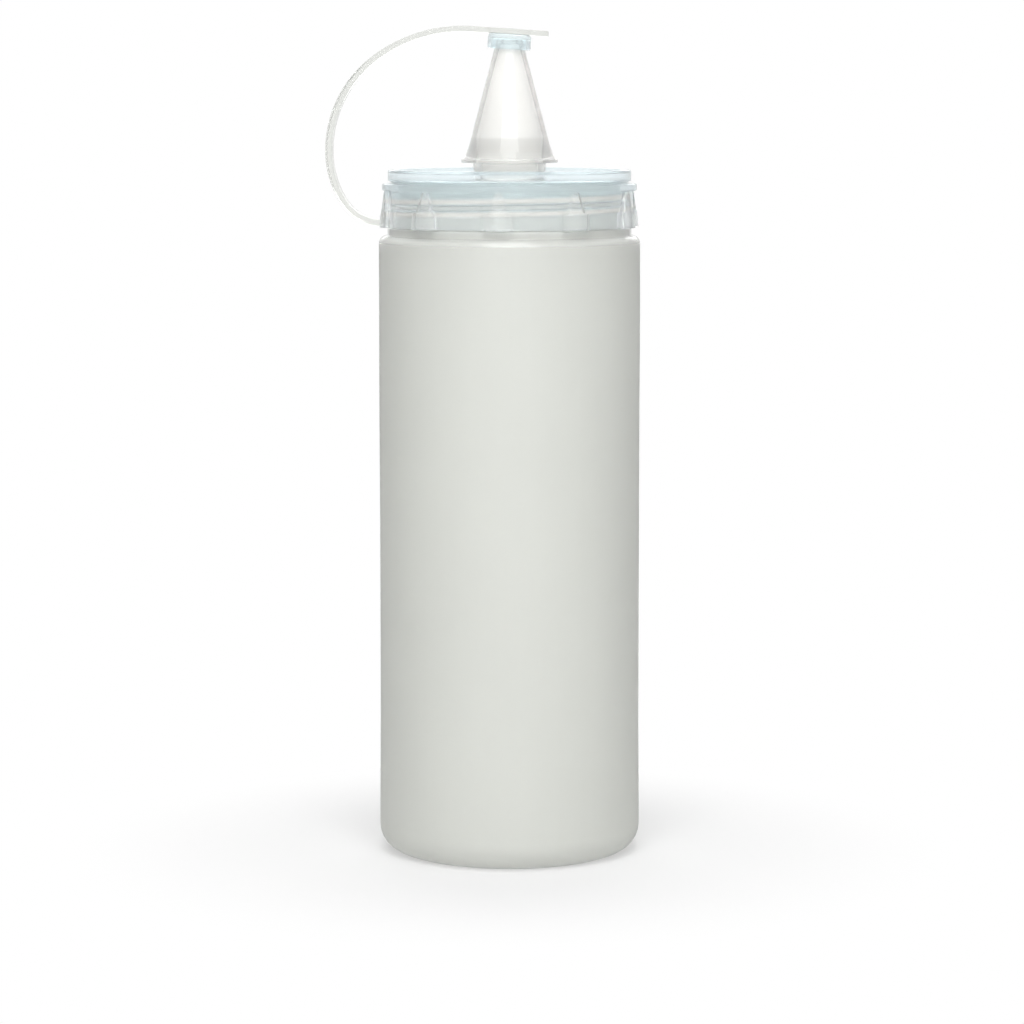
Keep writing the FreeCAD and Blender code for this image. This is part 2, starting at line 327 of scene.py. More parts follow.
def skin(name, grid, finish, slot, nodes, ring=False, thick_and_highlight=0.0, polish=0.0):
    """Piece whose closed surface runs through a grid of points. The columns go round and meet.

    The rows of a ring meet as well. Otherwise a fan of triangles shuts each end at the middle of its row.
    How thick the plastic is at each point, with the painted highlight lines along the threads, and how
    polished it is, each from 0 to 1, is kept for the finish to read."""
    rows, columns = grid.shape[:2]
    numbers = np.arange(rows * columns).reshape(rows, columns)
    lower = numbers if ring else numbers[:-1]
    upper = np.roll(numbers, -1, axis=0) if ring else numbers[1:]
    beside_lower, beside_upper = np.roll(lower, -1, axis=1), np.roll(upper, -1, axis=1)
    faces = np.stack([lower, beside_lower, beside_upper, upper], axis=-1).reshape(-1, 4).tolist()
    points = grid.reshape(-1, 3)
    marks = {"thick_and_highlight": thick_and_highlight, "polish": polish}
    marks = {mark: np.broadcast_to(value, (rows, columns)).ravel() for mark, value in marks.items()}
    if not ring:
        middles = np.stack([grid[0].mean(axis=0), grid[-1].mean(axis=0)])
        for middle, edge in ((len(points), numbers[0][::-1]), (len(points) + 1, numbers[-1])):
            faces += np.stack([np.full(columns, middle), edge, np.roll(edge, -1)], axis=-1).tolist()
        points = np.concatenate([points, middles])
        marks = {mark: np.append(values, values[[0, -1]]) for mark, values in marks.items()}
    mesh = bpy.data.meshes.new(name)
    mesh.from_pydata(points.tolist(), [], faces)
    for mark, values in marks.items():
        mesh.attributes.new(mark, "FLOAT", "POINT").data.foreach_set("value", values.astype(np.float32))
    build = bmesh.new()
    build.from_mesh(mesh)
    bmesh.ops.remove_doubles(build, verts=build.verts, dist=WELD_DISTANCE)
    bmesh.ops.dissolve_degenerate(build, edges=build.edges, dist=WELD_DISTANCE)
    if build.calc_volume(signed=True) < 0:
        bmesh.ops.reverse_faces(build, faces=build.faces)
    build.to_mesh(mesh)
    build.free()
    mesh.shade_smooth()
    mesh.materials.append(finish)
    piece = placed(name, mesh)
    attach(piece, BODY)
    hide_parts(*nodes)
    return piece


# Bottle

def neck_radius(sizes):
    """The neck's radius: the body's, less the inset."""
    return sizes.heel_radius - sizes.heel_bulge - sizes.neck_inset


def bead_top(sizes):
    return sizes.shoulder_height + sizes.bead_height


def skirt_bore(settings):
    """Radius of the cap's bore: the neck and its rib, with a clearance."""
    return neck_radius(settings.bottle) + settings.thread.depth + settings.thread.clearance


def skirt_radius(settings):
    return skirt_bore(settings) + settings.cap.skirt_wall


def bottle_outline(settings):
    """Outline from the middle of the underside, up the outside, over the mouth a hairline under the cap, and
    down inside."""
    size = settings.bottle
    heel, wall = size.heel_radius, size.body_wall
    body = heel - size.heel_bulge
    taper_top = size.heel_fillet + size.heel_taper
    foot = size.push_up_radius + size.push_up_run
    bead = skirt_radius(settings)
    neck, shoulder, top = neck_radius(size), size.shoulder_height, bead_top(size)
    hairline = 0.04 * MM
    mouth = size.mouth_height - hairline
    floor = size.base_wall
    taper_foot = taper_top * 0.3
    heel_blend, taper_blend = 20 * MM, 60 * MM
    fine, coarse, thread_step = 0.5 * MM, 2.5 * MM, 0.2 * MM
    outside = [
        (0, size.push_up_height, 0, coarse),
        (size.push_up_radius, size.push_up_height, 1.5 * MM, fine),
        (foot, 0, 0.8 * MM, fine),
        (heel, 0, size.heel_fillet, fine),
        (heel, taper_foot, heel_blend, coarse),
        (body, taper_top, taper_blend, coarse),
        (body, shoulder, 1.9 * MM, fine),
        (bead, shoulder, 0.12 * MM, fine),
        (bead, top, 0.4 * MM, fine),
        (neck, top, 0.4 * MM, thread_step),
        (neck, mouth, 0.35 * MM, fine),
    ]
    inside = [
        (neck - size.neck_wall, mouth, 0.35 * MM, fine),
        (neck - size.neck_wall, top - wall, 0.8 * MM, fine),
        (bead - wall, top - wall, 0.3 * MM, fine),
        (bead - wall, shoulder - wall, 0.25 * MM, fine),
        (body - wall, shoulder - wall, 0.8 * MM, coarse),
        (body - wall, taper_top, taper_blend, coarse),
        (heel - wall, taper_foot, heel_blend, fine),
        (heel - wall, floor, size.heel_fillet - wall, fine),
        (foot, floor, 0.8 * MM, fine),
        (size.push_up_radius, size.push_up_height + floor, 1.5 * MM, coarse),
        (0, size.push_up_height + floor, 0, coarse),
    ]
    return rounded_outline(outside + inside, closed=False)


def blown_ripple(heights, angles, phase):
    """Slow unevenness of a blown wall: waves that go round 2, 3 and 5 times and repeat every 110, 70 and
    45 mm of height."""
    climb = 2 * math.pi * heights
    return (np.sin(2 * angles + climb / 0.11 + phase) + 0.6 * np.sin(3 * angles - climb / 0.07 + 2 * phase)
            + 0.4 * np.sin(5 * angles + climb / 0.045 + 3 * phase)) / 2


def bottle_grid(settings):
    """The bottle's outline turned round, with the thread on its neck and the ripple on its wall added."""
    size, thread = settings.bottle, settings.thread
    outline = bottle_outline(settings)[1:-1]
    angles = even_angles(200)
    radii, heights = outline[:, :1], outline[:, 1:]
    neck = neck_radius(size)
    on_neck = (radii > neck - 0.2 * MM) & (radii < neck + 0.05 * MM) & (heights > bead_top(size))
    rib = helical_rib(thread, heights, angles, bead_top(size) + thread.start, thread.turns)
    inner = size.heel_radius - size.heel_bulge - size.body_wall / 2
    above_heel = smooth((heights - 8 * MM) / (20 * MM))
    below_shoulder = smooth((size.shoulder_height - 6 * MM - heights) / (12 * MM))
    outside, inside = blown_ripple(heights, angles, 0.7), 1.5 * blown_ripple(heights, angles, 2.1)
    ripple = np.where(radii > inner, outside, inside)
    # The neck's rib is painted whiter: partly the milkiness of its thicker plastic, partly a painted
    # highlight along the thread.
    thick_and_highlight = np.where(heights > bead_top(size), rib / thread.depth, 0)
    polish = smooth((heights - size.shoulder_height + 3 * MM) / (2 * MM))
    on_wall = above_heel * below_shoulder
    radii = radii + np.where(on_neck, rib, 0) + size.wall_ripple * on_wall * ripple
    grid = turned(radii, heights, angles)
    return {"grid": grid, "thick_and_highlight": thick_and_highlight, "polish": polish}


# Cap

def neck_top(settings):
    """Height of the neck's top: over the thread's last turn, a clearance and the seal band."""
    thread, cap = settings.thread, settings.cap
    thread_top = bead_top(settings.bottle) + thread.start + thread.pitch * thread.turns + thread.root / 2
    return thread_top + thread.clearance + cap.seal_band


def cap_outline(settings):
    """Closed outline of the cap: the skirt's edge and outside, the rim, disc and boss, and back inside."""
    cap, thread = settings.cap, settings.thread
    bore, skirt = skirt_bore(settings), skirt_radius(settings)
    under = neck_top(settings)
    seal = neck_radius(settings.bottle) + thread.clearance
    disc, rim = under + cap.disc_thickness, skirt - cap.rim_inset
    rim_top = disc + cap.rim_height
    flange_top = under - cap.flange_drop
    flange = skirt + cap.flange_reach
    groove, groove_top = skirt - cap.groove_depth, flange_top + cap.groove_height
    spigot_top = cap.collar_top + cap.spigot_height
    boss_bore = cap.spigot_radius - cap.spigot_wall
    fine, coarse = 0.3 * MM, 2.5 * MM
    return rounded_outline([
        (bore, cap.skirt_bottom, 0.25 * MM, fine),
        (skirt, cap.skirt_bottom, 0.25 * MM, 0.12 * MM),
        (skirt, flange_top - cap.flange_height, 0.25 * MM, fine),
        (flange, flange_top - cap.flange_height, 0.35 * MM, fine),
        (flange, flange_top, 0.45 * MM, fine),
        (groove, flange_top, 0.2 * MM, fine),
        (groove, groove_top, 0.2 * MM, fine),
        (rim, groove_top, 0.2 * MM, fine),
        (rim, rim_top, 0.45 * MM, fine),
        (rim - cap.rim_width, rim_top, 0.4 * MM, fine),
        (rim - cap.rim_width, disc, 0.3 * MM, coarse),
        (cap.collar_radius, disc, 0.6 * MM, fine),
        (cap.collar_radius, cap.collar_top, 0.3 * MM, fine),
        (cap.spigot_radius, cap.collar_top, 0.15 * MM, fine),
        (cap.spigot_radius, spigot_top, 0.3 * MM, fine),
        (boss_bore, spigot_top, 0.3 * MM, fine),
        (boss_bore, under, 0.5 * MM, coarse),
        (seal, under, 0.3 * MM, fine),
        (seal, under - cap.seal_band, 0.35 * MM, fine),
        (bore, under - cap.seal_band, 0.3 * MM, 0.2 * MM),
    ], closed=True)


def lug_section(half_width, reach, edge, pitch):
    """Half of one lug's level section: distances from its middle line, and how far each stands out.

    It runs over the lug's face, its outer edge, its side, its foot, and the bare wall halfway to the next
    lug. Edge and foot are quarter circles of the edge's radius."""
    quarter = np.linspace(0, math.pi / 2, 4)[None]
    face = np.linspace(0, 1, 4)[None, :-1]
    bare = np.linspace(0, 1, 5)[None, 1:]
    across = np.concatenate([(half_width - edge) * face, half_width - edge + edge * np.sin(quarter),
                             half_width + edge * (1 - np.cos(quarter)),
                             half_width + edge + (pitch / 2 - half_width - edge) * bare], axis=1)
    out = np.concatenate([np.repeat(reach, face.size, axis=1), reach - edge + edge * np.cos(quarter),
                          edge * (1 - np.sin(quarter)), np.zeros((len(reach), bare.size))], axis=1)
    return across, out


def cap_grid(settings):
    """The cap's outline turned round, its outer wall pushed out by the lugs and its bore in by the thread.

    The columns follow the lugs' sides, so that each edge stays crisp while the lug narrows upwards. The
    plastic counts as thick at the boss, and partly so over the skirt's foot and the lugs. Over the neck's rib
    behind it the cap is painted whiter as a highlight, and over its own rib partly so, as thick plastic and
    as a painted highlight."""
    cap, lug, thread = settings.cap, settings.lug, settings.thread
    outline = cap_outline(settings)
    radii, heights = outline[:, :1], outline[:, 1:]
    skirt = skirt_radius(settings)
    under_flange = neck_top(settings) - cap.flange_drop - cap.flange_height
    block_top = cap.skirt_bottom + lug.block_height
    up_block = np.clip((heights - cap.skirt_bottom) / lug.block_height, 0, 1)
    up_point = np.clip((heights - block_top) / (under_flange - block_top), 0, 1)
    ledge = smooth((heights - block_top + 0.2 * MM) / (0.25 * MM))
    point_half = (lug.point_width + (lug.tip_width - lug.point_width) * up_point) / 2
    half_width = lug.width / 2 + (point_half - lug.width / 2) * ledge
    fade = 1 - smooth((heights - under_flange) / (0.35 * MM))
    reach = (lug.reach - lug.draft * up_block - lug.point_draft * up_point) * fade
    pitch = 2 * math.pi * skirt / lug.count
    edge_radius, sunk = 0.3 * MM, 0.25 * MM
    across, out = lug_section(half_width, reach, np.minimum(edge_radius, reach * 0.45), pitch)
    across = np.concatenate([-across[:, :0:-1], across[:, :-1]], axis=1)
    out = np.concatenate([out[:, :0:-1], out[:, :-1]], axis=1)
    centres = math.pi + (np.arange(lug.count) + 0.5) * 2 * math.pi / lug.count
    local = (centres[None, :, None] + across[:, None, :] / skirt).reshape(len(outline), -1)
    stands_out = np.tile(out, lug.count)
    on_skirt = heights < under_flange + 0.4 * MM
    outer = (radii > skirt - cap.groove_depth) & on_skirt & (heights > cap.skirt_bottom)
    radius = np.where(outer, np.maximum(radii, skirt - sunk + stands_out), radii)
    bore = skirt_bore(settings)
    lead_in = thread.pitch * (0.5 + cap.turn / (2 * math.pi))
    rib = helical_rib(thread, heights, np.mod(local, 2 * math.pi),
                      bead_top(settings.bottle) + thread.start + lead_in, thread.turns - 0.5)
    in_bore = (np.abs(radii - bore) < 0.05 * MM) & (heights < under_flange)
    radius = radius - np.where(in_bore, rib, 0)
    # Painted highlight: the neck's rib behind the cap, marked as whiter lines on the cap itself.
    neck_rib_highlight = helical_rib(thread, heights, np.mod(local + cap.turn, 2 * math.pi),
                           bead_top(settings.bottle) + thread.start, thread.turns)
    rib_share, foot_share, lug_share = 0.5, 0.5, 0.6
    # Whiter lines along both ribs: a painted highlight, and over the cap's own rib partly its thicker plastic
    # too.
    rib_thickness_and_highlights = np.maximum(rib_share * rib, neck_rib_highlight) / thread.depth
    foot = foot_share * smooth((block_top - heights) / MM)
    thick_and_highlight = np.maximum(np.maximum(rib_thickness_and_highlights, foot), lug_share * stands_out / lug.reach) * on_skirt
    on_boss = radii < cap.collar_radius + 0.3 * MM
    return {"grid": turned(radius, heights, local + cap.turn), "thick_and_highlight": np.where(on_boss, 1.0, thick_and_highlight)}


# Nozzle

def cone_radius(nozzle, height):
    """Outer radius of the nozzle's cone at a height."""
    cone_bottom = nozzle.bottom + nozzle.flare_edge + nozzle.flare_height
    return nozzle.cone_base_radius - (height - cone_bottom) * math.tan(nozzle.cone_angle)


def nozzle_outline(settings):
    """Closed outline of the nozzle, a hairline over the cap. Its flare is an arc with a short straight run at
    each end, the upper one in line with the cone."""
    size = settings.nozzle
    edge_top = size.bottom + size.flare_edge
    cone_bottom = edge_top + size.flare_height
    spread = size.flare_radius - size.cone_base_radius
    chord = math.hypot(spread, size.flare_height)
    half_turn = math.atan2(spread, size.flare_height) - size.cone_angle
    arc_radius = chord / (2 * math.sin(half_turn))
    tangent = arc_radius * math.tan(half_turn)
    flare_fillet = arc_radius * 0.92
    corner = (size.cone_base_radius + tangent * math.sin(size.cone_angle),
              cone_bottom - tangent * math.cos(size.cone_angle))
    chamber_top = size.top - size.tip_wall
    chamber = cone_radius(size, chamber_top) - size.wall
    base_wall = size.cone_base_radius - size.socket_radius
    narrowing = cone_bottom + (base_wall - size.wall) / math.tan(size.cone_angle)
    fine, coarse = 0.4 * MM, 1.5 * MM
    hairline = 0.03 * MM
    seat = size.bottom + hairline
    return rounded_outline([
        (size.socket_radius, seat, 0.2 * MM, fine),
        (size.flare_radius, seat, 0.25 * MM, fine),
        (size.flare_radius, edge_top, 0.25 * MM, fine),
        (*corner, flare_fillet, coarse),
        (cone_radius(size, size.top), size.top, 0.4 * MM, fine),
        (size.orifice_radius, size.top, 0.3 * MM, fine),
        (size.orifice_radius, chamber_top, 0.2 * MM, fine),
        (chamber, chamber_top, 0.25 * MM, coarse),
        (size.socket_radius, narrowing, 2.0 * MM, fine),
    ], closed=True)


def nozzle_grid(settings):
    """The nozzle's outline turned round, polished outside and frosted inside."""
    size = settings.nozzle
    outline = nozzle_outline(settings)
    radii, heights = outline[:, :1], outline[:, 1:]
    inside = np.minimum(size.socket_radius, cone_radius(size, heights) - size.wall / 2)
    return {"grid": turned(radii, heights, even_angles(160)), "polish": np.where(radii > inside, 1.0, 0.0)}


# Strap and plug

def tilted(points, settings):
    """Points leaned about the nozzle's tip by the plug's tilt, then turned with the cap."""
    size = settings.strap
    lean, top = size.tilt, settings.nozzle.top
    x, y, z = points[..., 0], points[..., 1], points[..., 2] - top
    leaned = np.stack([x * math.cos(lean) + z * math.sin(lean), y,
                       top + z * math.cos(lean) - x * math.sin(lean)], axis=-1)
    return turned_with_cap(leaned, settings)


def turned_with_cap(points, settings):
    """Points turned about the bottle's axis by the cap's turn."""
    turn = settings.cap.turn
    x, y = points[..., 0], points[..., 1]
    return np.stack([x * math.cos(turn) - y * math.sin(turn), x * math.sin(turn) + y * math.cos(turn),
                     points[..., 2]], axis=-1)


def plate_bottom(settings):
    """Height of the strap's underside over the plug: the tip, its clearance and the plug's roof."""
    return settings.nozzle.top + settings.strap.tip_clearance + settings.strap.plug_roof


def plug_radii(settings):
    """Radii of the plug's room and of its outside."""
    size = settings.strap
    room = cone_radius(settings.nozzle, plate_bottom(settings) - size.plug_height) + size.plug_clearance
    return room, room + size.plug_wall


def plug_grid(settings):
    """Cup over the nozzle's tip. Its roof is sunk a little into the strap's plate."""
    size = settings.strap
    room, outside = plug_radii(settings)
    plate = plate_bottom(settings)
    bottom, roof = plate - size.plug_height, plate - size.plug_roof
    fine, sunk = 0.3 * MM, 0.3 * MM
    outline = rounded_outline([
        (0, plate + sunk, 0, fine), (outside - sunk, plate + sunk, 0.1 * MM, fine),
        (outside, plate - sunk, 0.1 * MM, fine), (outside, bottom, 0.3 * MM, fine),
        (room, bottom, 0.25 * MM, fine), (room, roof, 0.4 * MM, fine), (0, roof, 0, fine),
    ], closed=False)[1:-1]
    return tilted(turned(outline[:, :1], outline[:, 1:], even_angles(96)), settings)


def arc_end_heading(start, heading, end):
    """Heading at the end of the arc that leaves the start point at a heading and arrives at the end point."""
    chord = math.atan2(end[1] - start[1], end[0] - start[0])
    return heading + 2 * math.remainder(chord - heading, 2 * math.pi)


def arc_run(start, heading, end, count):
    """Points and headings along that arc: places on the chord's circle, turned evenly from the start."""
    turn = arc_end_heading(start, heading, end) - heading
    chord = math.dist(start, end)
    radius = chord / (2 * math.sin(turn / 2))
    headings = heading + turn * np.linspace(0, 1, count + 1)[1:]
    points = np.stack([start[0] + radius * (np.sin(headings) - math.sin(heading)),
                       start[1] - radius * (np.cos(headings) - math.cos(heading))], axis=-1)
    return points, headings


def biarc_meeting(start, heading, end, end_heading):
    """Point where two arcs with equal tangents meet, between two points with a heading at each."""
    start, end = np.array(start), np.array(end)
    leave = np.array([math.cos(heading), math.sin(heading)])
    arrive = np.array([math.cos(end_heading), math.sin(end_heading)])
    step = end - start
    along = step @ (leave + arrive)
    spread = 2 * (1 - leave @ arrive)
    tangent = (math.sqrt(along ** 2 + spread * (step @ step)) - along) / spread
    return tuple((start + end + tangent * (leave - arrive)) / 2)


def strap_line(settings):
    """Middle line of the strap in the XZ plane, its headings, and each point's distance along it.

    It runs straight from the finger tab over the plug, then in four arcs out, down and into the skirt."""
    size, cap = settings.strap, settings.cap
    lean = size.tilt
    rise = plate_bottom(settings) + size.thickness / 2 - settings.nozzle.top
    top, skirt = settings.nozzle.top, skirt_radius(settings)

    def on_plate(distance):
        return np.stack([rise * math.sin(lean) - distance * math.cos(lean),
                         top + rise * math.cos(lean) + distance * math.sin(lean)], axis=-1)
    half_tab = size.tab_width / 2
    tab_points, plate_points, run_points = 12, 60, 24
    round_end = half_tab * (1 - np.cos(np.linspace(0.08, 1, tab_points) * math.pi / 2)) - size.tab_reach
    straight = np.concatenate([round_end, np.linspace(round_end[-1], size.stub, plate_points)[1:]])
    start = tuple(on_plate(np.array(size.stub)))
    heading = math.pi - lean
    widest = (-skirt - size.reach, cap.skirt_bottom + size.widest_height)
    root = (-skirt - cap.skirt_wall, cap.skirt_bottom + size.root_lift + size.thickness / 2)
    down, inward = 1.5 * math.pi, 2 * math.pi
    stations = [start, biarc_meeting(start, heading, widest, down), widest,
                biarc_meeting(widest, down, root, inward), root]
    points, headings = [on_plate(straight)], [np.full(len(straight), heading)]
    for one, other in zip(stations, stations[1:]):
        run, turning = arc_run(one, headings[-1][-1], other, run_points)
        points.append(run)
        headings.append(turning)
    sunk = np.array([[-skirt + 0.4 * cap.skirt_wall, root[1]]])
    points.append(sunk)
    headings.append(headings[-1][-1:])
    line = np.concatenate(points)
    steps = np.linalg.norm(np.diff(line, axis=0), axis=1)
    along = np.concatenate([[0], np.cumsum(steps)]) + straight[0]
    return line, np.concatenate(headings), along


def soft_most(one, other, blend):
    """The larger of two values, with a smooth fillet where they are within blend of each other."""
    gap = np.clip(1 - np.abs(one - other) / blend, 0, 1)
    return np.maximum(one, other) + blend * gap ** 2 / 4


def strap_half_width(settings, along):
    """Half the strap's width: the tab with its round end, the round plate over the plug, then the band."""
    size = settings.strap
    plate = plug_radii(settings)[1] + size.overhang
    half_tab = size.tab_width / 2
    past_tab = np.clip((-along - size.tab_reach + half_tab) / half_tab, 0, 1)
    band = np.where(along > 0, size.width / 2, half_tab * np.sqrt(1 - past_tab ** 2))
    disc = np.sqrt(np.clip(plate ** 2 - along ** 2, 0, None))
    return np.where(np.abs(along) < plate, soft_most(band, disc, blend=0.8 * MM), band)


def strap_grid(settings):
    """Flat band carried along the strap's middle line: a rounded rectangle, thinned round the tab's tip."""
    size = settings.strap
    line, headings, along = strap_line(settings)
    edge = 0.35 * MM
    half_wide = np.maximum(strap_half_width(settings, along), edge)[:, None]
    near_tip = 1 - np.clip((along + size.tab_reach) / edge, 0, 1)[:, None]
    half_thick = size.thickness / 2 - edge * (1 - np.sqrt(1 - near_tip ** 2))
    turn = (np.linspace(0, math.pi / 2, 5) + math.pi / 2 * np.arange(4)[:, None]).reshape(1, -1)
    side, level = np.repeat([[1, -1, -1, 1]], 5, axis=1), np.repeat([[1, 1, -1, -1]], 5, axis=1)
    across = side * (half_wide - edge) + edge * np.cos(turn)
    lift = level * (half_thick - edge) + edge * np.sin(turn)
    normal = np.stack([np.sin(headings), -np.cos(headings)], axis=-1)[:, None]
    place = line[:, None] + lift[..., None] * normal
    points = np.stack(np.broadcast_arrays(place[..., 0], across, place[..., 1]), axis=-1)
    return turned_with_cap(points, settings)


# Finishes

def linked(tree, kind, **inputs):
    """A node with its inputs set, by name or as _number. Sockets are linked, other values are plain."""
    node = tree.nodes.new(kind)
    for name, value in inputs.items():
        socket = node.inputs[int(name[1:])] if name[1:].isdigit() else node.inputs[name.replace("_", " ")]
        if isinstance(value, bpy.types.NodeSocket):
            tree.links.new(value, socket)
        else:
            socket.default_value = value
    return node


def maths(tree, operation, *values):
    node = tree.nodes.new("ShaderNodeMath")
    node.operation = operation
    for socket, value in zip(node.inputs, values):
        if isinstance(value, bpy.types.NodeSocket):
            tree.links.new(value, socket)
        else:
            socket.default_value = value
    return node.outputs[0]


def blended(tree, factor, first, second):
    """Colour that goes from the first to the second as the factor goes from 0 to 1."""
    mix = tree.nodes.new("ShaderNodeMix")
    mix.data_type = "RGBA"
    for socket, source in zip((mix.inputs["Factor"], mix.inputs[6], mix.inputs[7]), (factor, first, second)):
        tree.links.new(source, socket)
    return mix.outputs[2]


def moulding_marks():
    """Node group for moulded plastic: clouds in its colour, uneven frosting, flow streaks and grain."""
    tree = bpy.data.node_groups.get("Moulding marks")
    if tree:
        return tree
    tree = bpy.data.node_groups.new("Moulding marks", "ShaderNodeTree")
    face = tree.interface
    sockets = {"Tint": (0.9, 0.9, 0.9, 1), "Shade": (0.8, 0.8, 0.8, 1), "Thick And Highlight Tint": (1, 1, 1, 1),
               "Thickness": 0.0, "Roughness": 0.4, "Polished Roughness": 0.2, "Polish": 0.0, "Clouds": 0.5,
               "Cloud Size": 0.03, "Unevenness": 0.4, "Streaks": 0.2, "Grain": 0.4}
    for name, value in sockets.items():
        kind = "NodeSocketColor" if isinstance(value, tuple) else "NodeSocketFloat"
        face.new_socket(name, in_out="INPUT", socket_type=kind).default_value = value
    for name, kind in (("Color", "NodeSocketColor"), ("Roughness", "NodeSocketFloat"),
                       ("Height", "NodeSocketFloat")):
        face.new_socket(name, in_out="OUTPUT", socket_type=kind)
    given = tree.nodes.new("NodeGroupInput").outputs
    out = tree.nodes.new("NodeGroupOutput").inputs
    place = tree.nodes.new("ShaderNodeTexCoord").outputs["Object"]
    cloud_scale = maths(tree, "DIVIDE", 1.0, given["Cloud Size"])
    streaks_per_metre, grains_per_metre, streak_in_colour = (420.0, 420.0, 14.0), 1600.0, 0.35
    noise = "ShaderNodeTexNoise"
    clouds = linked(tree, noise, Vector=place, Scale=cloud_scale, Detail=3.0, Roughness=0.55)
    drawn = linked(tree, "ShaderNodeMapping", Vector=place, Scale=streaks_per_metre)
    streaks = linked(tree, noise, Vector=drawn.outputs[0], Scale=1.0, Detail=2.0, Roughness=0.5)
    grain = linked(tree, noise, Vector=place, Scale=grains_per_metre, Detail=2.0, Roughness=0.6)
    cloudy = maths(tree, "MULTIPLY", clouds.outputs[0], given["Clouds"])
    streaky = maths(tree, "MULTIPLY", streaks.outputs[0], given["Streaks"])
    depth = maths(tree, "ADD", cloudy, maths(tree, "MULTIPLY", streaky, streak_in_colour))
    clouded = blended(tree, depth, given["Tint"], given["Shade"])
    # Whiter where the plastic is thick, and along the threads as a painted highlight.
    milky = blended(tree, given["Thickness"], clouded, given["Thick And Highlight Tint"])
    tree.links.new(milky, out["Color"])
    centred = maths(tree, "SUBTRACT", clouds.outputs[0], 0.5)
    uneven = maths(tree, "MULTIPLY_ADD", centred, given["Unevenness"], 1.0)
    polish = linked(tree, "ShaderNodeMapRange", Value=given["Polish"],
                    To_Min=given["Roughness"], To_Max=given["Polished Roughness"])
    tree.links.new(maths(tree, "MULTIPLY", polish.outputs[0], uneven), out["Roughness"])
    grainy = maths(tree, "MULTIPLY", grain.outputs[0], given["Grain"])
    tree.links.new(maths(tree, "ADD", grainy, streaky), out["Height"])
    return tree


def opaque(colour, shade=1.0):
    """Colour with its brightness multiplied by the shade."""
    return (*(part * shade for part in colour), 1)


def frosted_plastic(name, colour, clarity, marks, shade, bending, bump_depth=0.006 * MM):
    """Translucent plastic: light passes it, spread by its frosting, and the rest scatters at its surface.

    Its clouds darken the colour by the shade, and bending is its refractive index. The marks are inputs of
    the moulding marks group. Thickness, with the painted highlight lines along the threads, and polish come
    from the piece's attributes."""
    material = bpy.data.materials.get(name)
    if material:
        return material
    material = bpy.data.materials.new(name)
    material.use_nodes = True
    tree = material.node_tree
    plastic = tree.nodes["Principled BSDF"]
    plastic.inputs["IOR"].default_value = bending
    plastic.inputs["Transmission Weight"].default_value = clarity
    marking = tree.nodes.new("ShaderNodeGroup")
    marking.node_tree = moulding_marks()
    for socket, value in {"Tint": opaque(colour), "Shade": opaque(colour, shade), **marks}.items():
        marking.inputs[socket].default_value = value
    # The thickness attribute also carries the painted highlight lines along the threads.
    for attribute, socket in (("thick_and_highlight", "Thickness"), ("polish", "Polish")):
        reader = tree.nodes.new("ShaderNodeAttribute")
        reader.attribute_name = attribute
        tree.links.new(reader.outputs["Fac"], marking.inputs[socket])
    tree.links.new(marking.outputs["Color"], plastic.inputs["Base Color"])
    tree.links.new(marking.outputs["Roughness"], plastic.inputs["Roughness"])
    bump = linked(tree, "ShaderNodeBump", Height=marking.outputs["Height"], Distance=bump_depth)
    tree.links.new(bump.outputs[0], plastic.inputs["Normal"])
    return material


def bottle_finish(settings):
    finish = settings.finish
    marks = {"Thick And Highlight Tint": opaque(finish.milky_and_highlight_tint), "Roughness": finish.bottle_roughness,
             "Polished Roughness": finish.neck_roughness, "Unevenness": 0.15, "Cloud Size": 30 * MM,
             "Streaks": 0.5, "Grain": 0.5}
    return frosted_plastic("Frosted bottle plastic", finish.bottle_tint, finish.bottle_clarity, marks,
                           shade=0.9, bending=1.5, bump_depth=0.02 * MM)


def cap_finish(settings):
    finish = settings.finish
    marks = {"Thick And Highlight Tint": opaque(finish.milky_and_highlight_tint), "Roughness": finish.cap_roughness,
             "Cloud Size": 12 * MM}
    return frosted_plastic("Tinted cap plastic", finish.cap_tint, finish.cap_clarity, marks,
                           shade=0.94, bending=1.25)


def strap_finish(settings):
    """The strap's plastic: nearly clear, and bending light less than the cap's."""
    finish = settings.finish
    marks = {"Roughness": finish.strap_roughness, "Cloud Size": 6 * MM}
    return frosted_plastic("Milky strap plastic", finish.strap_tint, finish.strap_clarity, marks,
                           shade=0.94, bending=1.12)


def nozzle_finish(settings):
    finish = settings.finish
    marks = {"Roughness": finish.nozzle_roughness, "Polished Roughness": finish.nozzle_polish, "Clouds": 0.4,
             "Cloud Size": 8 * MM, "Streaks": 0.4, "Grain": 0.3}
    return frosted_plastic("Clear nozzle plastic", finish.nozzle_tint, finish.nozzle_clarity, marks,
                           shade=0.96, bending=1.4)


# Stage

def white_to_sight(tree, straight=1.0):
    """1 for what is mirrored or seen through plastic, a given share for what is seen straight, else 0."""
    path = tree.nodes.new("ShaderNodeLightPath")
    indirect = maths(tree, "MAXIMUM", path.outputs["Is Glossy Ray"], path.outputs["Is Transmission Ray"])
    direct = maths(tree, "MULTIPLY", path.outputs["Is Camera Ray"], straight)
    return maths(tree, "MAXIMUM", direct, indirect)


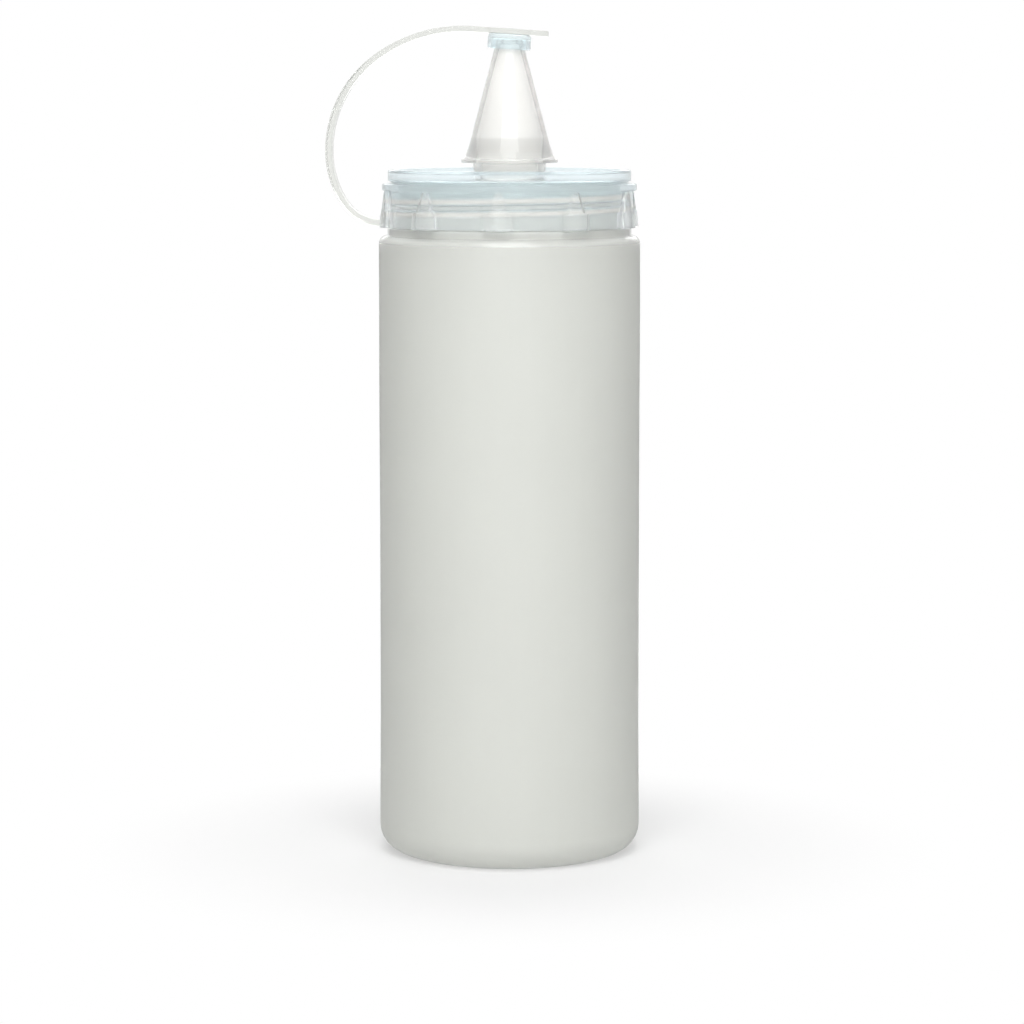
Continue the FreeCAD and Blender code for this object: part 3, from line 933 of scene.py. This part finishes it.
def floor_finish():
    """Pale matt floor that keeps the object's shadow near it and turns to plain white away from it.

    The share of plain white goes by a smooth step from the least share, at near, to 1, at far."""
    pale, near, far, least_share = 0.8, 0.03, 0.11, 0.4
    material = bpy.data.materials.new("Pale floor")
    material.use_nodes = True
    tree = material.node_tree
    paint = tree.nodes["Principled BSDF"]
    paint.inputs["Base Color"].default_value = (pale, pale, pale, 1)
    paint.inputs["Roughness"].default_value = 0.9
    place = tree.nodes.new("ShaderNodeTexCoord").outputs["Object"]
    distance = linked(tree, "ShaderNodeVectorMath", _0=place)
    distance.operation = "LENGTH"
    away = linked(tree, "ShaderNodeMapRange", Value=distance.outputs["Value"], From_Min=near, From_Max=far,
                  To_Min=least_share, To_Max=1.0)
    away.interpolation_type = "SMOOTHSTEP"
    glow = linked(tree, "ShaderNodeEmission", Color=(1, 1, 1, 1), Strength=1.0)
    factor = white_to_sight(tree, away.outputs[0])
    mix = linked(tree, "ShaderNodeMixShader", _0=factor, _1=paint.outputs[0], _2=glow.outputs[0])
    tree.links.new(mix.outputs[0], tree.nodes["Material Output"].inputs["Surface"])
    return material


def make_floor():
    reach = 8.0
    corners = [(-reach, -reach, 0), (reach, -reach, 0), (reach, reach, 0), (-reach, reach, 0)]
    mesh = bpy.data.meshes.new("floor")
    mesh.from_pydata(corners, [], [(0, 1, 2, 3)])
    mesh.materials.append(floor_finish())
    floor = placed("floor", mesh)


def make_world(level):
    """Even white room, at the given level as light and at 1 as a background."""
    world = bpy.data.worlds.new("White room")
    bpy.context.scene.world = world
    world.use_nodes = True
    tree = world.node_tree
    room = tree.nodes["Background"]
    room.inputs["Color"].default_value = (1, 1, 1, 1)
    strength = linked(tree, "ShaderNodeMapRange", Value=white_to_sight(tree), To_Min=level, To_Max=1.0)
    tree.links.new(strength.outputs[0], room.inputs["Strength"])


def softbox(name, place, target, side, power):
    lamp = bpy.data.lights.new(name, "AREA")
    lamp.size = side
    lamp.energy = power
    stand = placed(name, lamp)
    stand.location = place
    stand.rotation_euler = (Vector(target) - Vector(place)).to_track_quat("-Z", "Y").to_euler()


def make_camera():
    """Camera in front of the bottle, level with the nozzle, looking slightly down."""
    place, dip, focal_length = (0.6 * MM, -880 * MM, 183.6 * MM), 6.54, 128.0
    lens = bpy.data.cameras.new("camera")
    lens.lens = focal_length
    camera = placed("camera", lens)
    camera.location = place
    camera.rotation_euler = (math.radians(90 - dip), 0, 0)
    bpy.context.scene.camera = camera


# Operators

class SQUEEZE_OT_bottle(bpy.types.Operator):
    """Build the frosted bottle with its threaded neck"""
    bl_idname = "squeeze_bottle.bottle"
    bl_label = "Bottle"

    def execute(self, context):
        settings = context.scene.squeeze_bottle
        skin("bottle_shell", finish=bottle_finish(settings), slot="bottle_plastic", nodes=["bottle"],
             **bottle_grid(settings))
        return {"FINISHED"}


class SQUEEZE_OT_cap(bpy.types.Operator):
    """Build the screw cap with its grip lugs and boss"""
    bl_idname = "squeeze_bottle.cap"
    bl_label = "Screw cap"

    def execute(self, context):
        settings = context.scene.squeeze_bottle
        skin("screw_cap", finish=cap_finish(settings), slot="cap_plastic", nodes=["cap"], ring=True,
             **cap_grid(settings))
        return {"FINISHED"}


class SQUEEZE_OT_strap(bpy.types.Operator):
    """Build the strap with its finger tab, and the plug over the nozzle's tip"""
    bl_idname = "squeeze_bottle.strap"
    bl_label = "Strap and plug"

    def execute(self, context):
        settings = context.scene.squeeze_bottle
        skin("cap_strap", strap_grid(settings), strap_finish(settings), "cap_plastic", ["cap"])
        skin("tip_plug", plug_grid(settings), cap_finish(settings), "cap_plastic", ["cap"])
        return {"FINISHED"}


class SQUEEZE_OT_nozzle(bpy.types.Operator):
    """Build the pouring nozzle"""
    bl_idname = "squeeze_bottle.nozzle"
    bl_label = "Nozzle"

    def execute(self, context):
        settings = context.scene.squeeze_bottle
        skin("pouring_nozzle", finish=nozzle_finish(settings), slot="nozzle_plastic", nodes=["nozzle"],
             ring=True, **nozzle_grid(settings))
        return {"FINISHED"}


class SQUEEZE_OT_stage(bpy.types.Operator):
    """Build the floor, the light and the camera"""
    bl_idname = "squeeze_bottle.stage"
    bl_label = "Stage"

    def execute(self, context):
        finish = context.scene.squeeze_bottle.finish
        middle = (cad_box[0] + cad_box[1]) / 2
        make_floor()
        make_world(finish.room_light)
        softbox("front softbox", (0, -1.2, 0.9), middle, side=1.2, power=finish.front_light)
        softbox("back softbox", (0, 1.2, 0.9), middle, side=1.2, power=finish.back_light)
        softbox("top softbox", (0, -0.5, 1.5), middle, side=0.6, power=finish.top_light)
        make_camera()
        context.scene.view_settings.view_transform = "Standard"
        return {"FINISHED"}


class SQUEEZE_PT_panel(bpy.types.Panel):
    """Buttons that build each piece of the squeeze bottle"""
    bl_idname = "SQUEEZE_PT_panel"
    bl_label = "Squeeze Bottle"
    bl_space_type = "VIEW_3D"
    bl_region_type = "UI"
    bl_category = "Squeeze Bottle"

    def draw(self, context):
        for operator in OPERATORS:
            self.layout.operator(operator.bl_idname)


SETTINGS = (BottleSizes, ThreadSizes, CapSizes, LugSizes, NozzleSizes, StrapSizes, Finishes, SqueezeBottle)
OPERATORS = (SQUEEZE_OT_bottle, SQUEEZE_OT_cap, SQUEEZE_OT_strap, SQUEEZE_OT_nozzle, SQUEEZE_OT_stage)
CLASSES = (*SETTINGS, *OPERATORS, SQUEEZE_PT_panel)


def register():
    for item in CLASSES:
        bpy.utils.register_class(item)
    bpy.types.Scene.squeeze_bottle = group(SqueezeBottle)


def unregister():
    del bpy.types.Scene.squeeze_bottle
    for item in reversed(CLASSES):
        bpy.utils.unregister_class(item)


def main():
    register()
    bpy.ops.squeeze_bottle.bottle()
    bpy.ops.squeeze_bottle.cap()
    bpy.ops.squeeze_bottle.strap()
    bpy.ops.squeeze_bottle.nozzle()
    bpy.ops.squeeze_bottle.stage()


if __name__ == "__main__":
    main()
